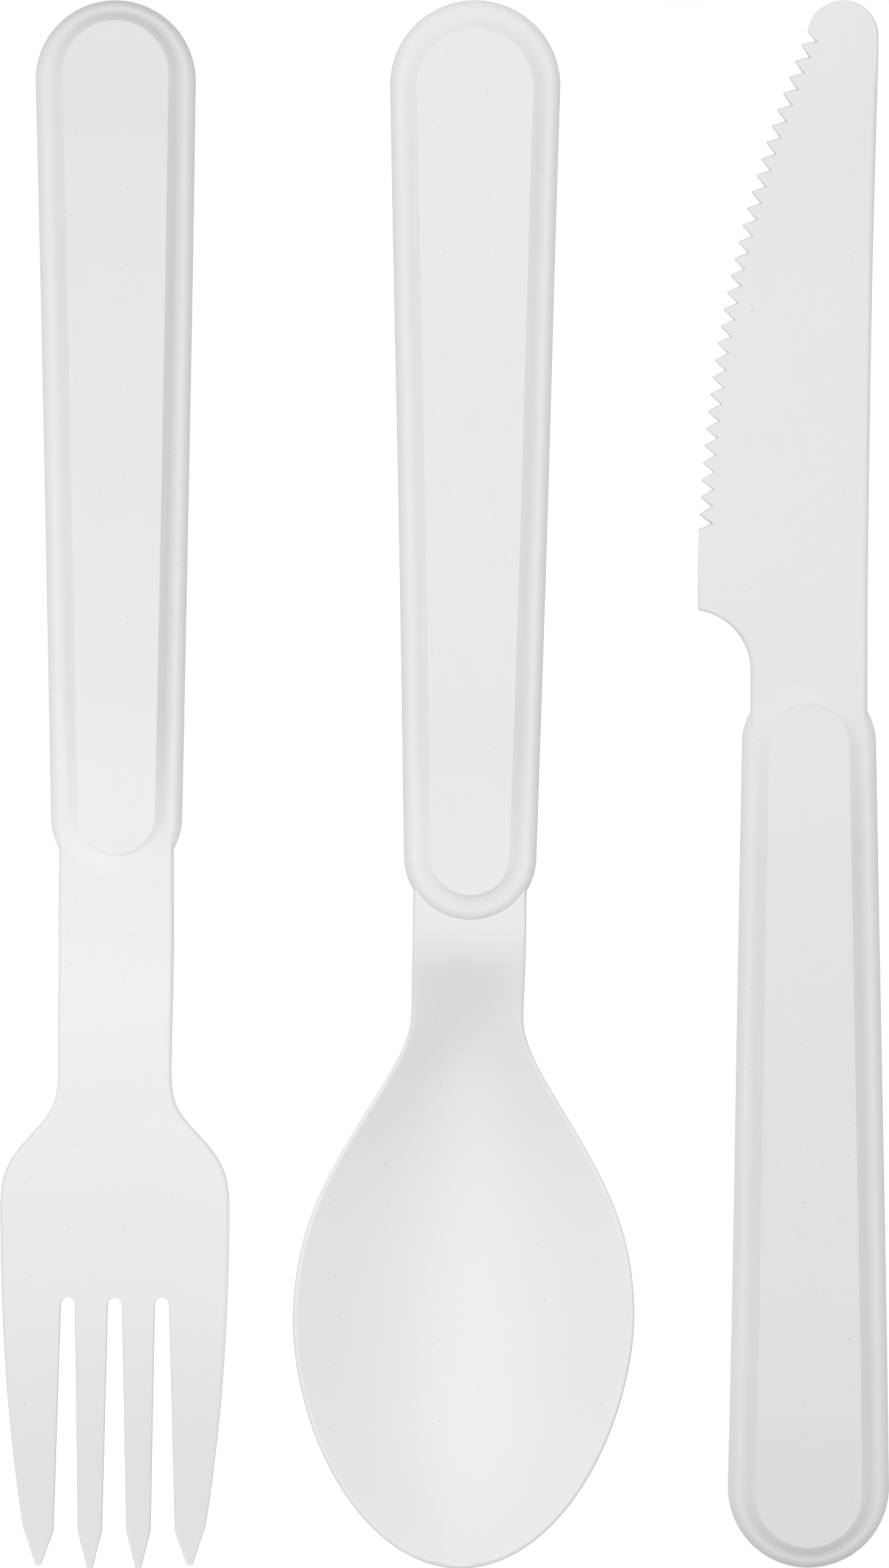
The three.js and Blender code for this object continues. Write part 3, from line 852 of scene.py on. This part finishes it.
def edge_distance(s, x, y, half):
    """Distance from a point of the spoon to its edge in plan, near enough close to the edge."""
    if y <= s.bowl_widest:
        step = 0.2 * MM
        slope = (spoon_half(s, y + step, 0) - spoon_half(s, y - step, 0)) / (2 * step)
        return (half - abs(x)) / math.hypot(1, slope)
    u = abs(x) / s.bowl_half
    reach = PIECE_LENGTH - s.bowl_widest
    t = (y - s.bowl_widest) / reach
    a, b = s.tip_across, s.tip_along
    steep = math.hypot(a * u ** (a - 1) / s.bowl_half, b * t ** (b - 1) / reach)
    return max(1 - u**a - t**b, 0) / steep


def rounding(distance, radius):
    """How far a rounded edge falls at a distance in from the side."""
    in_arc = radius - min(distance, radius)
    return radius - math.sqrt(radius**2 - in_arc**2)


def bowl_section(u):
    """Depth across the bowl as a share of its middle: a flat middle and nearly straight sides."""
    turn = BOWL_TURN * math.pi
    return (math.cos(turn * min(u, 1)) - math.cos(turn)) / (1 - math.cos(turn))


def spoon_ring(s, y, rim):
    """One ring across the neck or the bowl: out to each side, and back underneath."""
    half = spoon_half(s, y, 0)
    inner = spoon_half(s, y, s.lip)
    if inner < 0.1 * half:  # the lip meets itself at the tip
        inner = 0.6 * half
    depth = spoon_depth(s, y)
    wall = s.neck_wall + fade(y, SPOON_THINS) * (s.bowl_wall - s.neck_wall)
    near = min(1, 0.4 * half / s.lip)
    xs = [half - step * MM * near for step in RIM_STEPS]
    xs += [inner * u for u in np.sin(np.linspace(math.pi / 2, 0, 25))]
    xs += [-x for x in reversed(xs[:-1])]
    upper, lower = [], []
    for x in xs:
        edge = edge_distance(s, x, y, half)
        hollow = depth * bowl_section(abs(x) / inner)
        belly = depth * bowl_section(abs(x) / half)
        upper.append((x, y, rim - hollow - rounding(edge, s.rim_radius)))
        lower.append((x, y, rim - wall - belly + rounding(edge, s.belly_radius)))
    side = rim - wall / 2
    return [(half, y, side)] + upper + [(-half, y, side)] + lower[::-1]


def make_spoon(material):
    """The spoon: its handle, and a neck that opens into the bowl."""
    s = bpy.context.scene.cutlery.spoon
    lift = smooth_through(SPOON_LIFT)
    first, flares, widest, end = 106.2, 117, 151.4, 180
    neck = np.arange(first, flares, 0.6)
    flare = np.linspace(flares, widest, 57)
    round_end = widest + (end - widest) * np.sin(np.linspace(0, math.pi / 2, 61)[1:-1])
    tip = sorted([*round_end, 179.4, 179.49, 179.51, 179.6, 179.985])
    rings = []
    for y in np.array([*neck, *flare, *tip]) * MM:
        rings.append(spoon_ring(s, y, neck_top(s) + float(lift(y))))
    centre = s.handle_length - s.nose_radius
    inside = s.nose_radius - 1.0 * MM
    hidden = []
    for x, _, z in rings[0]:
        y = centre + math.sqrt(max(inside**2 - x**2, START_PAST_NOSE**2))
        hidden.append((x, y, z - float(lift(first * MM)) + float(lift(y))))
    body = new_object("spoon_body", to_mesh(skin([hidden] + rings), "spoon_body"))
    spoon = joined(make_handle(s, lift, material), body)
    sway(spoon, SPOON_SWAY)
    low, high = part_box("spoon")
    aside = s.tilt * s.bowl_widest + float(smooth_through(SPOON_SWAY)(s.bowl_widest))
    butt = ((low.x + high.x) / 2 + aside, high.y, 0)
    place = Matrix.Translation(butt) @ Matrix.Rotation(math.pi - s.tilt, 4, "Z")
    return finished(spoon, "spoon", place, material)


# ---- Knife ----


def knife_outline(k):
    """Plan of the knife past its handle, clockwise, standing a little proud of the saw teeth."""
    start = side_start(k)
    middle = (-k.neck_left - k.heel_hollow, k.heel_start)
    left = [(-k.neck_left, start)]
    left += arc(middle, k.heel_hollow, 0, 80, 24)
    corner = (-k.heel_left, middle[1] + k.heel_hollow)
    left += rounded([(*left[-1], 0), (*corner, HEEL_CORNER), (-k.heel_left, 111 * MM, 0)], 5)[1:-1]
    left += [(-k.heel_left, 117 * MM), (-k.heel_left + 0.1 * MM, 119 * MM)]
    left += arc((k.arc_x, k.arc_y), k.arc_radius + PROUD, 177.9, 158.0, 60)
    tip = arc((k.tip_across, k.tip_along), k.tip_radius, 175, 0, 40)
    spine = smooth_through(SPINE_LINE)
    right = [(float(spine(y)), y) for y in (*np.arange(174, 96, -2) * MM, start)]
    return left + tip + right + plate_start(k)


def comb_tree():
    """Geometry nodes that make a comb whose teeth fill the notches of a saw edge on an arc. The
    comb widens above and below, so that it leaves a bevel on both faces of the saw's teeth."""
    group = bpy.data.node_groups.new("Comb on an arc", "GeometryNodeTree")
    tree, given = inputs_of(group, [
        ("Geometry", "NodeSocketGeometry"),
        ("Teeth", "NodeSocketInt"),
        ("Depth", "NodeSocketFloat"),
        ("Round", "NodeSocketFloat"),
        ("Radius", "NodeSocketFloat"),
        ("Centre", "NodeSocketVector"),
        ("First angle", "NodeSocketFloat"),
        ("Last angle", "NodeSocketFloat"),
        ("Flat", "NodeSocketFloat"),
        ("Slope", "NodeSocketFloat"),
        ("Height", "NodeSocketFloat"),
        ("Reach", "NodeSocketFloat"),
        ("Material", "NodeSocketMaterial"),
    ])
    columns = given["Teeth"] * COMB_STEPS + (COMB_STEPS + 1)
    grid = tree.add("GeometryNodeMeshGrid", {}, Vertices_X=columns, Vertices_Y=COMB_ROWS, output="Mesh")
    index = tree.add("GeometryNodeInputIndex", {})
    row = index.math("MODULO", float(COMB_ROWS))
    column = (index - row) / COMB_ROWS

    phase = column / COMB_STEPS - 1
    nearest = phase.math("ROUND")
    off = phase - nearest
    aside = off.math("ABSOLUTE")
    spread = aside * (aside * 2) ** FLANK_BEND
    soft = given["Round"]
    drop = ((spread * spread + soft * soft).math("SQRT") - soft) * (given["Depth"] * 2)
    pitch = (given["First angle"] - given["Last angle"]) / (given["Teeth"] - 1)
    angle = given["First angle"] - (nearest + off.math("SIGN") * spread) * pitch
    before = (-0.5 - phase).math("MAXIMUM", 0.0)
    after = (phase - given["Teeth"] + 0.5).math("MAXIMUM", 0.0)

    level = row.math("MODULO", COMB_ROWS - 1.0) - (COMB_ROWS - 2) / 2
    tall = level.math("ABSOLUTE").math("GREATER_THAN", 1.0)
    far = level.math("ABSOLUTE").math("GREATER_THAN", 2.0)
    rise = tall * (given["Height"] - given["Flat"])
    out = far * given["Reach"] - rise * given["Slope"]
    radius = given["Radius"] - drop + (before + after) * (1.0 * MM) + out
    height = level.math("SIGN") * (given["Flat"] + rise)
    place = tree.add("ShaderNodeCombineXYZ", {}, X=radius * angle.math("COSINE"),
                     Y=radius * angle.math("SINE"), Z=height)
    centred = tree.add("ShaderNodeVectorMath", {"operation": "ADD"}, place, given["Centre"])
    laid = tree.add("GeometryNodeSetPosition", {}, grid, Position=centred)
    closed = tree.add("GeometryNodeMergeByDistance", {}, laid, Distance=1e-7)
    real = tree.add("GeometryNodeRealizeInstances", {}, closed)
    done = tree.add("GeometryNodeSetMaterial", {}, real, Material=given["Material"])
    tree.node("NodeGroupOutput", {}, done)
    return group


def saw_comb(k, height, material):
    """The body that is cut from the blade to leave its saw teeth."""
    comb = new_object("comb", bpy.data.meshes.new("comb"))
    comb.data = run_tree(comb, comb_tree(), {
        "Teeth": k.teeth,
        "Depth": k.tooth_depth,
        "Round": k.tooth_round,
        "Radius": k.arc_radius,
        "Centre": (k.arc_x, k.arc_y, height),
        "First angle": k.first_tooth,
        "Last angle": k.last_tooth,
        "Flat": k.bevel_flat,
        "Slope": k.bevel_slope,
        "Height": 1.2 * MM,
        "Reach": 5 * MM,
        "Material": material,
    })
    bm = bmesh.new()
    bm.from_mesh(comb.data)
    bmesh.ops.holes_fill(bm, edges=bm.edges, sides=0)
    bmesh.ops.recalc_face_normals(bm, faces=bm.faces)
    bm.to_mesh(comb.data)
    bm.free()
    return comb


def ground_fall(k, x, y, line, ridge):
    """How far the ground face lies below the spine's face, at a point left of the ridge."""
    away = min(math.dist((x, y), point) for point in line)
    narrow, wide = STEP_WIDTH
    width = (narrow + (wide - narrow) * (1 - fade(y, STEP_NARROWS))) * MM
    step = k.ground_step * float(smooth_step(away, 0, width))
    past = 1 - float(smooth_step(away, width, width + GROOVE_WIDTH))
    groove = k.ground_groove * min(away / width, 1) * past * fade(y, GROOVE_GROWS)
    along = np.clip(y - k.arc_y, -k.arc_radius, k.arc_radius)
    edge = k.arc_x - math.sqrt(k.arc_radius**2 - along**2)
    across = min(max((ridge - x) / (ridge - edge), 0), 1.1)
    taper = (k.spine - k.tooth_edge) / 2 - k.ground_step
    return step + groove + taper * across**2 * fade(y, BLADE_TAPERS)


def grinder(k, face, side):
    """The body that is cut from one face of the blade to leave its ground face."""
    ridge_at = smooth_through(RIDGE_LINE)
    first, end, gap = RIDGE_LINE[0][0], RIDGE_LINE[-1][0], 0.05
    fine = np.arange(first, end, gap) * MM
    line = list(zip(ridge_at(fine), fine))
    stations = [*np.arange(109.95, 120, 0.25), *np.arange(120, end, 2.0)]
    steps = [0, 0.02, 0.04, 0.06, 0.08, 0.12, 0.2, 0.3, 0.4, 0.5, 0.7, 1.0, 1.4, 2.0, 3.0, 4.5]
    rings = []
    for y in np.array(stations) * MM:
        ridge = float(ridge_at(y))
        here = int((y / MM - first) / gap)
        near = line[max(here - 60, 0):here + 60]
        xs = [ridge - d * MM for d in steps]
        xs += list(np.linspace(xs[-1], min(xs[-1], -15 * MM) - 2 * MM, 10)[1:])
        floor = [(x, y, face - side * ground_fall(k, x, y, near, ridge)) for x in xs]
        roof = [(x, y, face + side * 2 * MM) for x in xs]
        rings.append(floor + roof[::-1])
    return new_object("grinder", to_mesh(skin(rings), "grinder"))


def round_knife(k, bm):
    """Rounds the edges more along the knife's spine, its neck and the hollow below its heel."""
    spine = smooth_through(SPINE_LINE)
    hollow = Vector((-k.neck_left - k.heel_hollow, k.heel_start))
    for vert in bm.verts:
        x, y = vert.co.x, vert.co.y
        out = vert.co.xy - hollow
        if x > 0:
            inside, way, ends = float(spine(y)) - x, (-1, 0), SPINE_SHARPENS
        elif y < k.heel_start:
            inside, way, ends = x + k.neck_left, (1, 0), HOLLOW_SHARPENS
        else:
            inside, way, ends = out.length - k.heel_hollow, tuple(out.normalized()), HOLLOW_SHARPENS
        if -0.01 * MM < inside < 1.05 * k.edge:
            more = fade(y, KNIFE_ROUNDS) * (1 - fade(y, ends))
            widen(vert, max(inside, 0), way, 1 + (k.rounder - 1) * more, k.spine / 2)


def make_knife(material):
    """The knife: its handle, and a blade that thins from its spine to its saw teeth."""
    k = bpy.context.scene.cutlery.knife
    bm = plate(knife_outline(k), edge_section(k.spine, k.edge, 6), material)
    slice_up(bm, Vector((0, 1, 0)), KNIFE_CUTS * MM)
    slice_up(bm, Vector((1, 0, 0)), KNIFE_CUTS_ALONG * MM)
    round_knife(k, bm)
    middle = neck_top(k) - k.spine / 2
    for vert in bm.verts:
        vert.co.z += middle
    body = new_object("knife_body", to_mesh(bm, "knife_body"))
    for side in (1, -1):
        body = joined(body, grinder(k, middle + side * k.spine / 2, side), "DIFFERENCE")
    body = joined(body, saw_comb(k, middle, material), "DIFFERENCE")
    knife = joined(make_handle(k, smooth_through(KNIFE_LIFT), material), body)
    sway(knife, KNIFE_SWAY)
    low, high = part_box("knife")
    aside = k.butt_radius + float(smooth_through(KNIFE_SWAY)(k.butt_radius))
    place = Matrix.Translation((high.x - aside, low.y, 0))
    return finished(knife, "knife", place, material)


# ---- White plastic ----


def white_plastic(name, tone, painted_light):
    """Moulded white plastic with a satin gloss, fine grain, a few specks and hairlines. Painted light
    and shade change its colour smoothly along the piece, through the (y, share) stations of
    painted_light."""
    settings = bpy.context.scene.cutlery.plastic
    material = bpy.data.materials.new(name)
    material.use_nodes = True
    material.node_tree.nodes.clear()
    tree = Tree(material.node_tree)
    place = tree.add("ShaderNodeTexCoord", {}, output="Object")

    def noise(pitch, detail):
        """Soft noise of a pitch."""
        return tree.add("ShaderNodeTexNoise", {}, Vector=place, Scale=1 / pitch, Detail=detail)

    def hairlines(turn, width, reach, rare):
        """Fine lines at a turn from the piece's length, fewer the rarer they are."""
        laid = tree.add("ShaderNodeMapping", {"vector_type": "TEXTURE"}, Vector=place,
                        Rotation=(0, 0, turn), Scale=(width, reach, 1))
        lines = tree.add("ShaderNodeTexNoise", {"noise_dimensions": "2D"}, Vector=laid, Scale=1.0,
                         Detail=1.0)
        return ((lines - rare) * 30).clamped()

    def speck_cells(output):
        """Cells that may hold a speck each: the distance to a cell's middle, or its colour."""
        return tree.add("ShaderNodeTexVoronoi", {"voronoi_dimensions": "2D"}, Vector=place,
                        Scale=1 / settings.speck_gap, output=output)

    near = speck_cells("Distance")
    chance = tree.add("ShaderNodeSeparateColor", {}, speck_cells("Color"), output="Red")
    size, bare = 0.016, 0.72  # of a speck, in cells, and the share of cells that hold none
    specks = ((size - near) * 150).clamped() * ((chance - bare) * 40).clamped()
    thin = 0.05 * MM
    lines = hairlines(0.2, thin, 9 * MM, 0.76) + hairlines(-0.5, thin, 7 * MM, 0.78)
    lines = lines.clamped()
    cloud = noise(22 * MM, 2.0)
    grain = noise(settings.grain, 2.0)
    peel = noise(2.6 * MM, 1.0)

    # Painted light and shade: the colour is scaled along the piece through the given stations, with a
    # soft cloud of random tone on top; specks and hairlines darken it afterwards.
    along = tree.add("ShaderNodeSeparateXYZ", {}, place, output="Y")
    cloudy = 0.03
    shade = cloud * cloudy + (painted_light[0][1] - cloudy / 2)
    for (start, low), (end, high) in zip(painted_light, painted_light[1:]):
        shade += tree.add("ShaderNodeMapRange", {"interpolation_type": "SMOOTHSTEP"}, Value=along,
                          From_Min=start * MM, From_Max=end * MM, To_Max=high - low)
    shade = shade * (1 - specks * 0.35) * (1 - lines * 0.05)
    base = [channel * tone for channel in settings.colour]
    tint = tree.add("ShaderNodeVectorMath", {"operation": "SCALE"}, tuple(base), Scale=shade)
    rough = settings.roughness - 0.05 + cloud * 0.06 + grain * 0.05 + lines * 0.12
    height = grain * (0.0022 * MM) + peel * (0.008 * MM) - lines * (0.002 * MM)
    normal = tree.add("ShaderNodeBump", {}, Strength=1.0, Distance=1.0, Height=height)
    shader = tree.node("ShaderNodeBsdfPrincipled", {}, Base_Color=tint, Roughness=rough, Normal=normal,
                       IOR=1.38)
    tree.node("ShaderNodeOutputMaterial", {}, Value(tree, shader.outputs[0]))
    return material


SHARP_ANGLE = math.radians(32)  # an edge that turns more than this stays crisp


def finished(piece, node, place, material):
    """Shades a piece, moves it to its place and hangs it on the part in its CAD node's stead."""
    mesh = piece.data
    mesh.transform(place)
    mesh.polygons.foreach_set("use_smooth", [True] * len(mesh.polygons))
    mesh.set_sharp_from_angle(angle=SHARP_ANGLE)
    mesh.materials.clear()
    mesh.materials.append(material)
    mesh.polygons.foreach_set("material_index", [0] * len(mesh.polygons))
    modifier = piece.modifiers.new("Normals", "WEIGHTED_NORMAL")
    modifier.weight = 100
    modifier.keep_sharp = True
    piece.data = settled(piece)
    piece.name = "moulded_" + node
    piece.data.name = piece.name
    bpy.data.collections["lit_" + node].objects.link(piece)
    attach(piece, "root")
    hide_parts(node)
    return piece


# ---- Stage ----

# Where each piece's own soft light stands, in metres, and its power in watts.
KEYS = {
    "fork": ((-0.17, -0.16, 1.0), 11.0),
    "spoon": ((-0.10, 0.2, 1.0), 10.35),
    "knife": ((-0.04, 0.23, 1.0), 10.3),
}
KEY_SIZE = 1.1
CAMERA_HEIGHT = 3.004
CAMERA_LENS = 600


def make_floor():
    """A plain pale floor, just below the pieces."""
    mesh = bpy.data.meshes.new("floor")
    side, low = 3.0, -0.05 * MM
    corners = [(-side, -side, low), (side, -side, low), (side, side, low), (-side, side, low)]
    mesh.from_pydata(corners, [], [(0, 1, 2, 3)])
    floor = new_object("floor", mesh)
    material = bpy.data.materials.new("floor")
    material.use_nodes = True
    shader = material.node_tree.nodes["Principled BSDF"]
    shader.inputs["Base Color"].default_value = (0.9, 0.9, 0.9, 1)
    shader.inputs["Roughness"].default_value = 0.9
    shader.inputs["Specular IOR Level"].default_value = 0
    shader.inputs["Emission Color"].default_value = (1, 1, 1, 1)
    shader.inputs["Emission Strength"].default_value = 0.72
    mesh.materials.append(material)


def soft_light(name, place, power, lit):
    """A soft light that looks at the middle of the set and lights one collection only."""
    light = bpy.data.lights.new(name, "AREA")
    light.shape = "SQUARE"
    light.size = KEY_SIZE
    light.energy = power
    lamp = bpy.data.objects.new(name, light)
    lamp.location = place
    lamp.rotation_euler = (-Vector(place)).to_track_quat("-Z", "Y").to_euler()
    bpy.context.scene.collection.objects.link(lamp)
    lamp.light_linking.receiver_collection = lit


def make_camera():
    """A camera with a long lens, straight above."""
    camera = bpy.data.cameras.new("camera")
    camera.sensor_width = 36
    camera.lens = CAMERA_LENS
    camera.clip_end = 20
    eye = bpy.data.objects.new("camera", camera)
    eye.location = (0, 0, CAMERA_HEIGHT)
    bpy.context.scene.collection.objects.link(eye)
    bpy.context.scene.camera = eye


def make_world():
    """Even white light from all round."""
    scene = bpy.context.scene
    scene.view_settings.view_transform = "Standard"
    world = bpy.data.worlds.new("studio")
    world.use_nodes = True
    background = world.node_tree.nodes["Background"]
    background.inputs["Color"].default_value = (1, 1, 1, 1)
    background.inputs["Strength"].default_value = 0.3
    scene.world = world


# ---- Operators and panel ----


class CUTLERY_OT_stage(bpy.types.Operator):
    """Adds the floor, the soft lights and the camera"""

    bl_idname = "cutlery.stage"
    bl_label = "Stage"

    def execute(self, context):
        make_floor()
        make_world()
        for name, (place, power) in KEYS.items():
            soft_light(name + "_key", place, power, bpy.data.collections.new("lit_" + name))
        make_camera()
        return {"FINISHED"}


class CUTLERY_OT_fork(bpy.types.Operator):
    """Adds the fork"""

    bl_idname = "cutlery.fork"
    bl_label = "Fork"

    def execute(self, context):
        make_fork(white_plastic("fork_plastic", 1.0, FORK_PAINTED_LIGHT))
        return {"FINISHED"}


class CUTLERY_OT_spoon(bpy.types.Operator):
    """Adds the spoon"""

    bl_idname = "cutlery.spoon"
    bl_label = "Spoon"

    def execute(self, context):
        make_spoon(white_plastic("spoon_plastic", 1.0, SPOON_PAINTED_LIGHT))
        return {"FINISHED"}


class CUTLERY_OT_knife(bpy.types.Operator):
    """Adds the knife"""

    bl_idname = "cutlery.knife"
    bl_label = "Knife"

    def execute(self, context):
        make_knife(white_plastic("knife_plastic", 0.97, KNIFE_PAINTED_LIGHT))
        return {"FINISHED"}


class CUTLERY_PT_panel(bpy.types.Panel):
    """Lists the pieces of the set"""

    bl_idname = "CUTLERY_PT_panel"
    bl_label = "Cutlery"
    bl_space_type = "VIEW_3D"
    bl_region_type = "UI"
    bl_category = "Cutlery"

    def draw(self, context):
        for operator in OPERATORS:
            self.layout.operator(operator.bl_idname)


SETTINGS = (HandleSettings, ForkSettings, SpoonSettings, KnifeSettings, PlasticSettings, CutlerySettings)
OPERATORS = (CUTLERY_OT_stage, CUTLERY_OT_fork, CUTLERY_OT_spoon, CUTLERY_OT_knife)
CLASSES = (*SETTINGS, *OPERATORS, CUTLERY_PT_panel)


def register():
    for cls in CLASSES:
        bpy.utils.register_class(cls)
    bpy.types.Scene.cutlery = PointerProperty(type=CutlerySettings)


def unregister():
    del bpy.types.Scene.cutlery
    for cls in reversed(CLASSES):
        bpy.utils.unregister_class(cls)


def main():
    """Builds the set."""
    register()
    bpy.ops.cutlery.stage()
    bpy.ops.cutlery.fork()
    bpy.ops.cutlery.spoon()
    bpy.ops.cutlery.knife()


if __name__ == "__main__":
    main()
